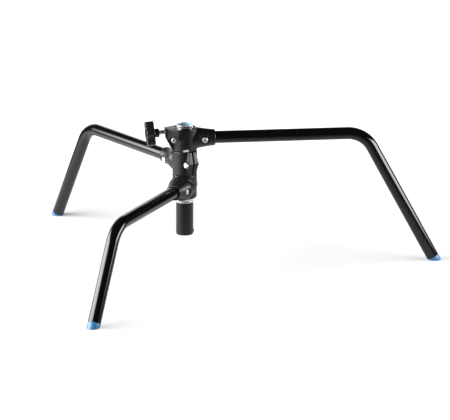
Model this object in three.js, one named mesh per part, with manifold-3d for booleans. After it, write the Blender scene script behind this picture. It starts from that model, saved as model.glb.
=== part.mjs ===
// Low stand base with three bent tube legs on three stacked castings round one centre tube.
// Millimetres, +Z up. The origin is on the floor, on the axis of the centre tube.
// +X runs along the top leg, which is clamped to the tube. The other two legs swing round it.
import * as THREE from 'three';
import { mergeVertices } from 'three/addons/utils/BufferGeometryUtils.js';
import Module from 'manifold-3d';

const wasm = await Module();
wasm.setup();

// Driving sizes: centre tube and column socket
const centreTubeDiameter = 36;
const centreTubeWall = 3.55;
const centreTubeBottom = 74.3;
const tubeEndRounding = 2;

// Driving sizes: castings
const sleeveWall = 7;
const castingSplitLow = 202.8;
const castingSplitHigh = 253;
const castingStackTop = 300;
const castingStackBottom = 151.8;
const castingEdge = 1.5;
const castingFootEdge = 5;
const slitWidth = 2.4;

// Driving sizes: legs, with one row for each leg
const legTubeDiameter = 25.4;
const legTubeWall = 1.8;
const legBendRadius = 60.6;
const legSocketSetBack = 0.5;
const legs = {
  top: { azimuth: 0, height: 277.5, bendReach: 371, footReach: 525.6, socketLength: 36.8, socketEndRadius: 16.8,
    rootRadius: 21.8, boltPlace: 14.4, boltDrop: 1.3, boltSeat: 14.4, boltPocket: 8.8, headSide: -1 },
  middle: { azimuth: 118.96, height: 227.8, bendReach: 353.9, footReach: 483.4, socketLength: 38.7,
    socketEndRadius: 14.8, rootRadius: 28, boltPlace: 21.8, boltDrop: 3.4, boltSeat: 15.5, boltPocket: 7.4,
    headSide: 1 },
  bottom: { azimuth: 238.25, height: 175.2, bendReach: 317.1, footReach: 417.5, socketLength: 32,
    socketEndRadius: 16.2, rootRadius: 26, boltPlace: 5.6, boltDrop: 1.9, boltSeat: 16.4, boltPocket: 6.9,
    headSide: 1 },
};

// Driving sizes: split clamps
const earWidth = 17;
const earLength = 1.6;
const earNoseWidth = 25;
const earNoseLength = 7;
const earEdge = 1.6;
const pinchInset = 0.4;
const pinchDrop = 1.4;
const pinchSeat = 11.5;
const topEarWidth = 20;
const topEarLength = 16.5;
const topEarHeight = 21;
const topEarFootLength = 1;
const shoulderSetBack = 3.5;
const shoulderTaper = 33;
const shoulderCorner = 14;
const shoulderEdge = 1.2;
const topPinchSetBack = 17.7;
const topPinchDrop = 22.2;
const topPinchSeat = 14;
const topSlitDrop = 15.5;

// Driving sizes: socket ring and liner, bushes and retaining ring
const ringOverhang = 1.7;
const ringHeight = 6.2;
const linerDepth = 2;
const linerWall = 1.5;
const linerSetBack = 0.8;
const bushWall = 1;
const bushSpigot = 7.5;
const bushCollarWidth = 4.4;
const bushFlangeWidth = 1.8;
const bushFlangeHeight = 3.6;
const retainingRingHeight = 4;
const retainingRingProud = 0.9;
const retainingGrooveDepth = 0.9;
const retainingRingGap = 9;
const notchRadius = 7.6;
const notchHeight = 6.8;
const notchAzimuth = -90.8;

// Driving sizes: fasteners
const boltDiameter = 6;
const boltHeadDiameter = 11.8;
const boltHeadHeight = 5.2;
const hexKeySize = 4;
const hexKeyDepth = 2.6;
const nutAcrossFlats = 10;
const nutHeight = 4.8;
const boltTipLength = 1.5;
const pocketMargin = 0.8;
const stopPinDiameter = 6;
const stopPinHeight = 81;
const stopPinHeadDiameter = 7;
const stopPinHeadHeight = 0.8;

// Driving sizes: column clamp
const clampDrop = 8.9;
const clampTilt = 5;
const clampScrewDiameter = 9.6;
const clampThreadShown = 11.3;
const knobDiameter = 55;
const knobThickness = 17.2;
const knobLobes = 6;
const knobLobeRadius = 8.2;
const knobValleyRadius = 6.4;
const knobPhase = 14;
const knobEdge = 1.6;
const knobBossDiameter = 17.8;
const knobBossLength = 9.8;
const knobCapDiameter = 20;
const knobCapDepth = 2;
const screwTailDepth = 5;
const padDiameter = 7.2;
const padLength = 5.6;
const padSetBack = 0.9;
const padSpigotDiameter = 4.6;
const padSpigotLength = 3;

// Driving sizes: foot caps
const footCapLip = 1.6;
const footPlugLength = 18;

// Clearances between pieces
const fitGap = 0.25;
const faceGap = 0.3;
const runGap = 0.2;

// Facets round a circle
const sleeveFacets = 36;
const armFacets = 28;
const tubeFacets = 20;
const smallFacets = 12;
const bendSteps = 8;

// Sizes that follow from the driving sizes
const centreTubeRadius = centreTubeDiameter / 2;
const boreRadius = centreTubeRadius - centreTubeWall;
const sleeveRadius = centreTubeRadius + sleeveWall;
const ringRadius = centreTubeRadius + ringOverhang;
const collarRadius = centreTubeRadius + bushCollarWidth;
const flangeRadius = centreTubeRadius + bushFlangeWidth;
const retainingRadius = centreTubeRadius + retainingRingProud;
const legSocketStart = sleeveRadius + legSocketSetBack;
const earReach = sleeveRadius + earLength;
const earNoseReach = sleeveRadius + earNoseLength;
const pinchReach = sleeveRadius - pinchInset;
const topEarReach = sleeveRadius + topEarLength;
const topEarFoot = sleeveRadius + topEarFootLength;
const shoulderReach = topEarReach - shoulderSetBack;
const topPinchReach = topEarReach - topPinchSetBack;
const legRadius = legTubeDiameter / 2;
const boltRadius = boltDiameter / 2;
const bushOuterRadius = centreTubeRadius + runGap + bushWall;
const fixedBoreRadius = centreTubeRadius + fitGap;
const bushBoreRadius = bushOuterRadius + fitGap;
const pocketRadius = boltHeadDiameter / 2 + pocketMargin;
const topPinchHeight = castingStackTop - topPinchDrop;
const topSlitTop = castingStackTop - topSlitDrop;
const clampHeight = castingStackTop - clampDrop;
const outOfReach = 200;
for (const leg of Object.values(legs)) {
  leg.socketEnd = sleeveRadius + leg.socketLength;
  leg.boltReach = sleeveRadius + leg.boltPlace;
}

// Materials, with the colours of the finished pieces
const materials = {
  gloss_black_paint: new THREE.MeshStandardMaterial({ color: 0x0b0b0c, roughness: 0.12, metalness: 0.0 }),
  satin_black_paint: new THREE.MeshStandardMaterial({ color: 0x1a1a1b, roughness: 0.4, metalness: 0.0 }),
  satin_black_casting: new THREE.MeshStandardMaterial({ color: 0x262627, roughness: 0.5, metalness: 0.1 }),
  chrome: new THREE.MeshStandardMaterial({ color: 0xe4e5e6, roughness: 0.1, metalness: 1.0 }),
  zinc: new THREE.MeshStandardMaterial({ color: 0xd8d9da, roughness: 0.25, metalness: 1.0 }),
  white_nylon: new THREE.MeshStandardMaterial({ color: 0xeeeeea, roughness: 0.5, metalness: 0.0 }),
  blue_grey_plastic: new THREE.MeshStandardMaterial({ color: 0x8cb0c0, roughness: 0.35, metalness: 0.0 }),
  black_plastic: new THREE.MeshStandardMaterial({ color: 0x171718, roughness: 0.4, metalness: 0.0 }),
  blue_plastic: new THREE.MeshStandardMaterial({ color: 0x3f83ba, roughness: 0.35, metalness: 0.0 }),
  brass: new THREE.MeshStandardMaterial({ color: 0xb99545, roughness: 0.3, metalness: 1.0 }),
};

// Makes a solid for joining and cutting from a closed three.js geometry.
function solid(geometry) {
  const bare = geometry.clone();
  bare.deleteAttribute('normal');
  bare.deleteAttribute('uv');
  const merged = mergeVertices(bare, 1e-4);
  const corners = merged.index.array;
  const kept = [];
  for (let i = 0; i < corners.length; i += 3) {
    const [a, b, c] = [corners[i], corners[i + 1], corners[i + 2]];
    if (a !== b && b !== c && c !== a) {
      kept.push(a, b, c);
    }
  }
  const vertProperties = Float32Array.from(merged.attributes.position.array);
  return new wasm.Manifold(new wasm.Mesh({ numProp: 3, vertProperties, triVerts: Uint32Array.from(kept) }));
}

// Turns a solid back into a geometry with flat faces.
function geometryOf(body) {
  const mesh = body.getMesh();
  const geometry = new THREE.BufferGeometry();
  geometry.setAttribute('position', new THREE.BufferAttribute(Float32Array.from(mesh.vertProperties), 3));
  geometry.setIndex(new THREE.BufferAttribute(Uint32Array.from(mesh.triVerts), 1));
  geometry.computeVertexNormals();
  return geometry;
}

// Joins all solids of a list.
function join(bodies) {
  return bodies.reduce((whole, body) => whole.add(body));
}

// Cuts all solids of a list out of a body.
function cut(body, tools) {
  return tools.reduce((left, tool) => left.subtract(tool), body);
}

// Revolves a profile of [radius, height] points round Z. The outer side runs upwards.
function revolve(profile, facets) {
  const points = profile.map(([radius, height]) => new THREE.Vector2(radius, height));
  return new THREE.LatheGeometry(points, facets).rotateX(Math.PI / 2);
}

// Round bar or ring from z = low to z = high.
function ring(outer, inner, low, high, facets) {
  if (inner > 0) {
    return revolve([[inner, low], [outer, low], [outer, high], [inner, high], [inner, low]], facets);
  }
  return revolve([[0, low], [outer, low], [outer, high], [0, high]], facets);
}

// The same along +X and along +Y.
const alongX = (geometry) => geometry.rotateY(Math.PI / 2);
const alongY = (geometry) => geometry.rotateX(-Math.PI / 2);

// Block between two corners, in one or more layers.
function block(low, high, layers = 1) {
  const size = high.map((value, axis) => value - low[axis]);
  const centre = high.map((value, axis) => (value + low[axis]) / 2);
  return new THREE.BoxGeometry(...size, 1, 1, layers).translate(...centre);
}

// Plate with an outline in X and Z, centred on y = 0, with its edges eased by a small bevel.
function plate(outline, width, bevel) {
  const shape = new THREE.Shape(outline.map(([x, z]) => new THREE.Vector2(x, z)));
  const geometry = new THREE.ExtrudeGeometry(shape, {
    depth: width - 2 * bevel, bevelEnabled: true, bevelThickness: bevel, bevelSize: bevel, bevelOffset: -bevel,
    bevelSegments: 2, steps: 1,
  });
  return geometry.translate(0, 0, bevel - width / 2).rotateX(Math.PI / 2);
}

// Points of a quarter round between two directions, for eased edges in a profile.
function quarterRound(centreRadius, centreHeight, radius, startAngle, steps = 3) {
  return Array.from({ length: steps + 1 }, (_, k) => {
    const angle = THREE.MathUtils.degToRad(startAngle + (90 * k) / steps);
    return [centreRadius + radius * Math.cos(angle), centreHeight + radius * Math.sin(angle)];
  });
}

// Bolts, nuts and their places. A bolt lies along +Y with its head on the +Y side.
// The head's seat is at y = seat and the nut's seat at y = -nutSeat.
function boltSolid(seat, nutSeat) {
  const headRadius = boltHeadDiameter / 2;
  const tip = -(nutSeat + faceGap + nutHeight + boltTipLength);
  const low = seat + faceGap;
  const dome = Array.from({ length: 5 }, (_, k) => {
    const angle = (Math.PI / 2) * (k / 4);
    return [headRadius * (0.62 + 0.38 * Math.cos(angle)), low + boltHeadHeight * (0.45 + 0.55 * Math.sin(angle))];
  });
  const profile = [[0, tip], [boltRadius - 0.6, tip], [boltRadius, tip + 0.6], [boltRadius, low], [headRadius, low],
    ...dome, [0, low + boltHeadHeight]];
  const bolt = solid(alongY(revolve(profile, smallFacets)));
  const key = new THREE.CylinderGeometry(hexKeySize / Math.sqrt(3), hexKeySize / Math.sqrt(3), 2 * hexKeyDepth, 6);
  return bolt.subtract(solid(key.translate(0, low + boltHeadHeight, 0)));
}

function nutSolid(nutSeat) {
  const corner = nutAcrossFlats / Math.sqrt(3);
  const high = -(nutSeat + faceGap);
  const hexagon = new THREE.CylinderGeometry(corner, corner, nutHeight, 6).translate(0, high - nutHeight / 2, 0);
  const hole = alongY(ring(boltRadius + fitGap, 0, high - 2 * nutHeight, high + nutHeight, smallFacets));
  return solid(hexagon).subtract(solid(hole));
}

// Hole for a bolt with a round pocket for its head and another for its nut.
function boltHole(seat, nutSeat, x, z, side, pocket = pocketRadius) {
  const shank = alongY(ring(boltRadius + fitGap, 0, -outOfReach / 4, outOfReach / 4, smallFacets));
  const headPocket = alongY(ring(pocket, 0, seat, outOfReach / 4, tubeFacets));
  const nutPocket = alongY(ring(pocket, 0, nutSeat, outOfReach / 4, tubeFacets)).rotateZ(Math.PI);
  const turn = side > 0 ? 0 : Math.PI;
  return [shank, headPocket, nutPocket].map((tool) => solid(tool.rotateZ(turn).translate(x, 0, z)));
}

// Sleeve of a casting, from z = low to z = high round the centre tube, with eased outer edges.
function sleeve(low, high, bore, lowEdge, highEdge) {
  const profile = [[bore, low], ...quarterRound(sleeveRadius - lowEdge, low + lowEdge, lowEdge, -90),
    ...quarterRound(sleeveRadius - highEdge, high - highEdge, highEdge, 0), [bore, high], [bore, low]];
  return solid(revolve(profile, sleeveFacets));
}

// Tapered arm that holds a leg. It is trimmed flush with the ends of its sleeve.
function arm(leg, low, high) {
  const chamfer = 1.2;
  const steps = 5;
  const taper = Array.from({ length: steps + 1 }, (_, k) => {
    const along = k / steps;
    const reach = sleeveRadius + (leg.socketEnd - chamfer - sleeveRadius) * along;
    return [leg.socketEndRadius + (leg.rootRadius - leg.socketEndRadius) * (1 - along) ** 1.35, reach];
  });
  const profile = [[0, 0], [leg.rootRadius, 0], ...taper,
    [leg.socketEndRadius - chamfer, leg.socketEnd], [0, leg.socketEnd]];
  const slab = block([-outOfReach, -outOfReach, low + faceGap], [outOfReach, outOfReach, high - faceGap]);
  return solid(alongX(revolve(profile, armFacets))).intersect(solid(slab));
}

// What every casting has cut out of it: the bore for the centre tube and the socket of its leg.
function castingCuts(leg, bore, low, high) {
  const tubeBore = ring(bore, 0, low - 1, high + 1, sleeveFacets);
  const legSocket = alongX(ring(legRadius + fitGap, 0, legSocketStart, leg.socketEnd + 1, tubeFacets));
  return [solid(tubeBore), solid(legSocket), ...boltHole(leg.boltSeat, leg.boltSeat, leg.boltReach, -leg.boltDrop,
    leg.headSide, leg.boltPocket)];
}

// Split clamp on the far side of a sleeve: two cheeks that come to a wide nose at half height.
function pinchEars(low, high) {
  const middle = (low + high) / 2;
  const cheeks = block([-earReach, -earWidth / 2, low + faceGap], [0, earWidth / 2, high - faceGap], 2);
  const corners = cheeks.attributes.position;
  for (let k = 0; k < corners.count; k += 1) {
    if (Math.abs(corners.getZ(k) - middle) < faceGap) {
      corners.setX(k, corners.getX(k) * (earNoseReach / earReach));
      corners.setY(k, corners.getY(k) * (earNoseWidth / earWidth));
    }
  }
  return solid(cheeks);
}

function slit(low, high, reach) {
  return solid(block([-reach - boltDiameter, -slitWidth / 2, low], [-boreRadius, slitWidth / 2, high]));
}

// Shoulder of the top casting: it widens from the clamp ear to the full width of the sleeve.
function shoulder(low, high) {
  const taper = THREE.MathUtils.degToRad(shoulderTaper);
  const side = sleeveRadius - shoulderCorner;
  const narrow = topEarWidth / 2 - shoulderEdge / 2;
  const corner = (shoulderCorner / Math.cos(taper) + side - narrow) / Math.tan(taper) - shoulderReach;
  const outline = new THREE.Shape();
  outline.moveTo(0, -sleeveRadius);
  outline.lineTo(0, sleeveRadius);
  outline.absarc(corner, side, shoulderCorner, Math.PI / 2, Math.PI / 2 + taper, false);
  outline.lineTo(-shoulderReach, narrow);
  outline.lineTo(-shoulderReach, -narrow);
  outline.absarc(corner, -side, shoulderCorner, 1.5 * Math.PI - taper, 1.5 * Math.PI, false);
  const geometry = new THREE.ExtrudeGeometry(outline, {
    depth: high - low - 2 * shoulderEdge, bevelEnabled: true, bevelThickness: shoulderEdge,
    bevelSize: shoulderEdge, bevelOffset: -shoulderEdge, bevelSegments: 2, curveSegments: 3, steps: 1,
  });
  return solid(geometry.translate(0, 0, low + shoulderEdge));
}

// Castings, each in the frame of its own leg: z = 0 on the leg's axis and +X along the leg.
function topCasting(leg) {
  const low = castingSplitHigh + faceGap / 2 - leg.height;
  const high = castingStackTop - leg.height;
  const inside = centreTubeRadius - 2;
  const earLow = high - topEarHeight;
  const lean = topEarHeight * Math.tan(THREE.MathUtils.degToRad(clampTilt));
  const outline = [[-inside, low + faceGap], [-topEarFoot, low + faceGap], [lean - topEarReach, earLow],
    [-topEarReach, high], [-inside, high]];
  const ear = solid(plate(outline, topEarWidth, earEdge));
  const boss = alongY(ring(pocketRadius, 0, -topPinchSeat, topPinchSeat, tubeFacets));
  const body = join([sleeve(low, high, fixedBoreRadius, castingEdge, castingEdge), arm(leg, low, high), ear,
    shoulder(topPinchHeight - leg.height, high),
    solid(boss.translate(-topPinchReach, 0, topPinchHeight - leg.height))]);
  const bushRoom = ring(collarRadius + fitGap, 0, low - 1, low + bushSpigot + faceGap, sleeveFacets);
  const notch = alongX(ring(notchRadius, 0, centreTubeRadius, outOfReach / 4, tubeFacets))
    .translate(0, 0, low - notchRadius + notchHeight).rotateZ(THREE.MathUtils.degToRad(notchAzimuth - leg.azimuth));
  const pinch = boltHole(topPinchSeat, topPinchSeat, -topPinchReach, topPinchHeight - leg.height, -1);
  const screwHole = alongX(ring(clampScrewDiameter / 2 + faceGap, 0, -5, topEarReach, smallFacets));
  clampPlace(screwHole).translate(0, 0, -leg.height);
  return cut(body, [...castingCuts(leg, fixedBoreRadius, low, high), solid(bushRoom), solid(notch), ...pinch,
    slit(low - 1, topSlitTop - leg.height, topEarReach), solid(screwHole)]);
}

function swingCasting(leg, low, high, lowEdge) {
  const body = join([sleeve(low, high, bushBoreRadius, lowEdge, castingEdge), arm(leg, low, high),
    pinchEars(low, high)]);
  const pinch = boltHole(pinchSeat, pinchSeat, -pinchReach, (low + high) / 2 - pinchDrop, 1);
  return cut(body, [...castingCuts(leg, bushBoreRadius, low, high), ...pinch,
    slit(low - 1, high + 1, earNoseReach)]);
}

// Bush of the middle casting. Its collar stands up into the top casting and keeps the two in line.
function middleBush(leg) {
  const inner = centreTubeRadius + runGap;
  const low = castingSplitLow + faceGap / 2 - leg.height;
  const collarLow = castingSplitHigh + faceGap / 2 - leg.height;
  const high = collarLow + bushSpigot - faceGap;
  const profile = [[inner, low], [bushOuterRadius, low], [bushOuterRadius, collarLow], [collarRadius, collarLow],
    [collarRadius, high], [inner, high], [inner, low]];
  return solid(revolve(profile, sleeveFacets));
}

// Flanged bush of the bottom casting. Its flange carries the stack of castings.
function bottomBush(leg) {
  const inner = centreTubeRadius + runGap;
  const flangeHigh = castingStackBottom - faceGap - leg.height;
  const flangeLow = flangeHigh - bushFlangeHeight;
  const high = castingSplitLow - faceGap / 2 - leg.height;
  const profile = [[inner, flangeLow], ...quarterRound(flangeRadius - 1, flangeLow + 1, 1, -90, 2),
    ...quarterRound(flangeRadius - 1, flangeHigh - 1, 1, 0, 2), [bushOuterRadius, flangeHigh], [bushOuterRadius, high],
    [inner, high], [inner, flangeLow]];
  return solid(revolve(profile, sleeveFacets));
}

// Places that both the ring and the groove it sits in use.
const flangeUnderside = castingStackBottom - faceGap - bushFlangeHeight;
const retainingHigh = flangeUnderside - faceGap;
const retainingLow = retainingHigh - retainingRingHeight;
const grooveRadius = centreTubeRadius - retainingGrooveDepth;

function centreTube() {
  const high = castingStackTop;
  const profile = [[boreRadius, centreTubeBottom],
    ...quarterRound(centreTubeRadius - tubeEndRounding, centreTubeBottom + tubeEndRounding, tubeEndRounding, -90),
    [centreTubeRadius, retainingLow - faceGap], [grooveRadius, retainingLow - faceGap],
    [grooveRadius, retainingHigh + faceGap], [centreTubeRadius, retainingHigh + faceGap],
    [centreTubeRadius, high], [boreRadius, high], [boreRadius, centreTubeBottom]];
  const linerRoom = ring(boreRadius + linerWall + fitGap, 0, high - linerDepth - faceGap, high + 1, sleeveFacets);
  const pinHole = alongX(ring(stopPinDiameter / 2 + fitGap, 0, -outOfReach / 4, outOfReach / 4, smallFacets));
  const screwHole = alongX(ring(clampScrewDiameter / 2 + faceGap, 0, -5, topEarReach, smallFacets));
  return cut(solid(revolve(profile, sleeveFacets)), [solid(linerRoom),
    solid(pinHole.translate(0, 0, stopPinHeight)), solid(clampPlace(screwHole))]);
}

// Bright ring round the mouth of the column socket.
function socketRing() {
  const low = castingStackTop + faceGap;
  const high = low + ringHeight;
  const inner = boreRadius + linerWall + fitGap;
  const chamfer = 0.6;
  const profile = [[inner, low], [ringRadius - chamfer, low], [ringRadius, low + chamfer],
    ...quarterRound(ringRadius - 1, high - 1, 1, 0, 2), [inner + chamfer, high], [inner, high - chamfer], [inner, low]];
  return solid(revolve(profile, sleeveFacets));
}

// Plastic liner inside the bright ring, seated in the end of the centre tube.
function socketLiner() {
  const low = castingStackTop - linerDepth;
  const high = castingStackTop + faceGap + ringHeight - linerSetBack;
  const outer = boreRadius + linerWall;
  const profile = [[boreRadius, low], [outer, low], [outer, high], [boreRadius + linerWall / 2, high],
    [boreRadius, high - linerWall / 2], [boreRadius, low]];
  return solid(revolve(profile, sleeveFacets));
}

// Open spring ring in the groove of the centre tube.
function retainingRing() {
  const inner = grooveRadius + fitGap;
  const profile = [[inner, retainingLow], ...quarterRound(retainingRadius - 0.8, retainingLow + 0.8, 0.8, -90, 2),
    ...quarterRound(retainingRadius - 0.8, retainingHigh - 0.8, 0.8, 0, 2), [inner, retainingHigh], [inner, retainingLow]];
  const opening = block([-retainingRingGap / 2, 0, retainingLow - 1], [retainingRingGap / 2,
    sleeveRadius, retainingHigh + 1]);
  return solid(revolve(profile, sleeveFacets)).subtract(solid(opening));
}

// Cross pin that the riser column rests on. One end has a low head and the other is flush with the tube.
function stopPin() {
  const radius = stopPinDiameter / 2;
  const head = stopPinHeadDiameter / 2;
  const edge = 0.4;
  const flush = edge - centreTubeRadius;
  const seat = centreTubeRadius + faceGap;
  const end = seat + stopPinHeadHeight;
  const profile = [[0, flush], [radius - edge, flush], [radius, flush + edge], [radius, seat], [head, seat],
    [head, end - edge], [head - edge, end], [0, end]];
  return solid(alongX(revolve(profile, smallFacets)).translate(0, 0, stopPinHeight));
}

// Centre line of a leg in its own frame: level, then a round bend, then straight down to the floor.
class LegPath extends THREE.Curve {
  constructor(leg, end) {
    super();
    this.slope = Math.atan2(leg.height, leg.footReach - leg.bendReach);
    const setBack = legBendRadius * Math.tan(this.slope / 2);
    this.start = new THREE.Vector3(legSocketStart + faceGap, 0, 0);
    this.bendCentre = new THREE.Vector3(leg.bendReach - setBack, 0, -legBendRadius);
    this.end = end;
  }

  // The stations are the start, each step of the bend, and the end.
  getPointAt(u) {
    const station = u * (bendSteps + 2) - 1;
    if (station < 0) {
      return this.start.clone().lerp(this.onBend(0), 1 + station);
    }
    if (station > bendSteps) {
      return this.onBend(1).lerp(this.end, station - bendSteps);
    }
    return this.onBend(station / bendSteps);
  }

  getTangentAt(u) {
    const share = THREE.MathUtils.clamp((u * (bendSteps + 2) - 1) / bendSteps, 0, 1);
    return new THREE.Vector3(Math.cos(this.slope * share), 0, -Math.sin(this.slope * share));
  }

  onBend(share) {
    const angle = this.slope * share;
    const offset = new THREE.Vector3(Math.sin(angle), 0, Math.cos(angle)).multiplyScalar(legBendRadius);
    return this.bendCentre.clone().add(offset);
  }
}

// Where a leg's square-cut end lies: its underside clears the floor by the lip of the foot cap.
function footPlace(leg) {
  const slope = Math.atan2(leg.height, leg.footReach - leg.bendReach);
  const backOff = legRadius / Math.tan(slope) + footCapLip / Math.sin(slope);
  const direction = new THREE.Vector3(Math.cos(slope), 0, -Math.sin(slope));
  const floorPoint = new THREE.Vector3(leg.footReach, 0, -leg.height);
  return { slope, end: floorPoint.clone().addScaledVector(direction, -backOff), direction };
}

function legTube(leg) {
  const foot = footPlace(leg);
  const circle = new THREE.Shape().absarc(0, 0, legRadius, 0, 2 * Math.PI, false);
  circle.holes.push(new THREE.Path().absarc(0, 0, legRadius - legTubeWall, 0, 2 * Math.PI, true));
  const tube = new THREE.ExtrudeGeometry(circle, {
    steps: bendSteps + 2, curveSegments: tubeFacets / 2, extrudePath: new LegPath(leg, foot.end),
  });
  const boltThrough = alongY(ring(boltRadius + fitGap, 0, -outOfReach / 4, outOfReach / 4, smallFacets));
  return solid(tube).subtract(solid(boltThrough.translate(leg.boltReach, 0, -leg.boltDrop)));
}

// Foot cap: a plug in the tube's end and a wedge, flush with the tube, cut flat to the floor.
function footCap(leg) {
  const foot = footPlace(leg);
  const plugRadius = legRadius - legTubeWall - fitGap;
  const profile = [[0, -footPlugLength], [plugRadius - 1, -footPlugLength], [plugRadius, 1 - footPlugLength],
    [plugRadius, faceGap], [legRadius - 0.5, faceGap], [legRadius, faceGap + 0.5], [legRadius, 4 * legRadius],
    [0, 4 * legRadius]];
  const along = revolve(profile, tubeFacets).rotateY(Math.PI / 2 + foot.slope);
  const body = solid(along.translate(foot.end.x, foot.end.y, foot.end.z));
  const floor = block([0, -outOfReach, -leg.height - outOfReach], [4 * outOfReach, outOfReach, -leg.height]);
  return body.subtract(solid(floor));
}

// The clamp's own frame: x = 0 on the ear's end face, +X along the screw towards the centre tube.
function clampPlace(geometry) {
  return geometry.rotateY(-THREE.MathUtils.degToRad(clampTilt)).translate(-topEarReach, 0, clampHeight);
}

const bossFace = -clampThreadShown;
const knobFace = bossFace - knobBossLength;
const knobBack = knobFace - knobThickness;
const padFront = (topEarReach - boreRadius) / Math.cos(THREE.MathUtils.degToRad(clampTilt)) - padSetBack;
const padBack = padFront - padLength;
const screwShoulder = padBack - faceGap;

// Lobed knob: round lobes joined by round valleys, with a boss towards the casting.
function clampKnob() {
  const lobeCentre = knobDiameter / 2 - knobLobeRadius;
  const halfPitch = Math.PI / knobLobes;
  const reach = knobLobeRadius + knobValleyRadius;
  const valleyCentre = lobeCentre * Math.cos(halfPitch) + Math.sqrt(reach ** 2
    - (lobeCentre * Math.sin(halfPitch)) ** 2);
  const toValley = Math.atan2(valleyCentre * Math.sin(halfPitch), valleyCentre * Math.cos(halfPitch) - lobeCentre);
  const outline = new THREE.Shape();
  for (let k = 0; k < knobLobes; k += 1) {
    const lobe = 2 * halfPitch * k;
    const valley = lobe + halfPitch;
    const swing = toValley - halfPitch;
    outline.absarc(lobeCentre * Math.cos(lobe), lobeCentre * Math.sin(lobe), knobLobeRadius, lobe - toValley,
      lobe + toValley, false);
    outline.absarc(valleyCentre * Math.cos(valley), valleyCentre * Math.sin(valley), knobValleyRadius,
      valley + Math.PI + swing, valley + Math.PI - swing, true);
  }
  const disc = new THREE.ExtrudeGeometry(outline, {
    depth: knobThickness - 2 * knobEdge, bevelEnabled: true, bevelThickness: knobEdge, bevelSize: knobEdge,
    bevelOffset: -knobEdge, bevelSegments: 2, curveSegments: 3, steps: 1,
  });
  const turned = alongX(disc.translate(0, 0, knobBack + knobEdge).rotateZ(THREE.MathUtils.degToRad(knobPhase)));
  const bossRadius = knobBossDiameter / 2;
  const boss = alongX(revolve([[0, knobFace - 4], [bossRadius, knobFace - 4], [bossRadius, bossFace - 1],
    [bossRadius - 1, bossFace], [0, bossFace]], tubeFacets));
  const screwRoom = alongX(ring(clampScrewDiameter / 2 + fitGap, 0, knobBack + screwTailDepth - faceGap,
    bossFace + 1, smallFacets));
  const capRoom = alongX(ring(knobCapDiameter / 2, 0, knobBack - 1, knobBack + knobCapDepth, tubeFacets));
  return cut(join([solid(turned), solid(boss)]), [solid(screwRoom), solid(capRoom)]);
}

function clampScrew() {
  const radius = clampScrewDiameter / 2;
  const tail = knobBack + screwTailDepth;
  const spigot = padSpigotDiameter / 2;
  const profile = [[0, tail], [radius - 1, tail], [radius, tail + 1], [radius, screwShoulder - 1],
    [radius - 1, screwShoulder], [spigot, screwShoulder], [spigot, screwShoulder + padSpigotLength],
    [0, screwShoulder + padSpigotLength]];
  return solid(alongX(revolve(profile, smallFacets)));
}

function pressurePad() {
  const radius = padDiameter / 2;
  const profile = [[0, padBack], [radius, padBack], [radius, padFront - 0.8], [radius - 0.8, padFront], [0, padFront]];
  const socket = alongX(ring(padSpigotDiameter / 2 + fitGap, 0, padBack - 1, screwShoulder + padSpigotLength
    + faceGap, smallFacets));
  return solid(alongX(revolve(profile, smallFacets))).subtract(solid(socket));
}

// A named piece with its material.
function piece(name, body, material) {
  const mesh = new THREE.Mesh(geometryOf(body), materials[material]);
  mesh.name = name;
  return mesh;
}

// A fastener turned so that its head is on the given side, at its place in a casting.
function fastened(mesh, x, z, side) {
  mesh.position.set(x, 0, z);
  mesh.rotation.z = side > 0 ? 0 : Math.PI;
  return mesh;
}

// The group of one leg: its casting, tube, foot cap and fasteners, in the frame of the leg.
function legGroup(name, casting, pinch) {
  const leg = legs[name];
  const group = new THREE.Group();
  group.position.z = leg.height;
  group.rotation.z = THREE.MathUtils.degToRad(leg.azimuth);
  group.add(
    piece(`${name}_casting`, casting, 'satin_black_casting'),
    piece(`${name}_leg_tube`, legTube(leg), 'gloss_black_paint'),
    piece(`${name}_foot_cap`, footCap(leg), 'blue_plastic'),
    fastened(piece(`${name}_leg_bolt`, boltSolid(leg.boltSeat, leg.boltSeat), 'zinc'), leg.boltReach, -leg.boltDrop,
      leg.headSide),
    fastened(piece(`${name}_leg_nut`, nutSolid(leg.boltSeat), 'zinc'), leg.boltReach, -leg.boltDrop, leg.headSide),
    fastened(piece(`${name}_pinch_bolt`, boltSolid(pinch.seat, pinch.nutSeat), 'zinc'), pinch.x, pinch.z, pinch.side),
    fastened(piece(`${name}_pinch_nut`, nutSolid(pinch.nutSeat), 'zinc'), pinch.x, pinch.z, pinch.side),
  );
  return group;
}

// A swinging leg's casting with its place between two heights of the stack.
function swingGroup(name, lowLevel, highLevel, lowEdge) {
  const leg = legs[name];
  const low = lowLevel - leg.height;
  const high = highLevel - leg.height;
  const pinch = { x: -pinchReach, z: (low + high) / 2 - pinchDrop, seat: pinchSeat, nutSeat: pinchSeat, side: 1 };
  return legGroup(name, swingCasting(leg, low, high, lowEdge), pinch);
}

// The whole base
const stand = new THREE.Group();
const topPinch = { x: -topPinchReach, z: topPinchHeight - legs.top.height, seat: topPinchSeat,
  nutSeat: topPinchSeat, side: -1 };
const top = legGroup('top', topCasting(legs.top), topPinch);
const middle = swingGroup('middle', castingSplitLow + faceGap / 2, castingSplitHigh - faceGap / 2, castingEdge);
const bottom = swingGroup('bottom', castingStackBottom, castingSplitLow - faceGap / 2, castingFootEdge);
middle.add(piece('middle_bush', middleBush(legs.middle), 'white_nylon'));
bottom.add(piece('bottom_bush', bottomBush(legs.bottom), 'white_nylon'));

const clamp = new THREE.Group();
clamp.position.set(-topEarReach, 0, clampHeight);
clamp.rotation.y = -THREE.MathUtils.degToRad(clampTilt);
clamp.add(
  piece('clamp_knob', clampKnob(), 'black_plastic'),
  piece('clamp_screw', clampScrew(), 'zinc'),
  piece('pressure_pad', pressurePad(), 'brass'),
);

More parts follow.
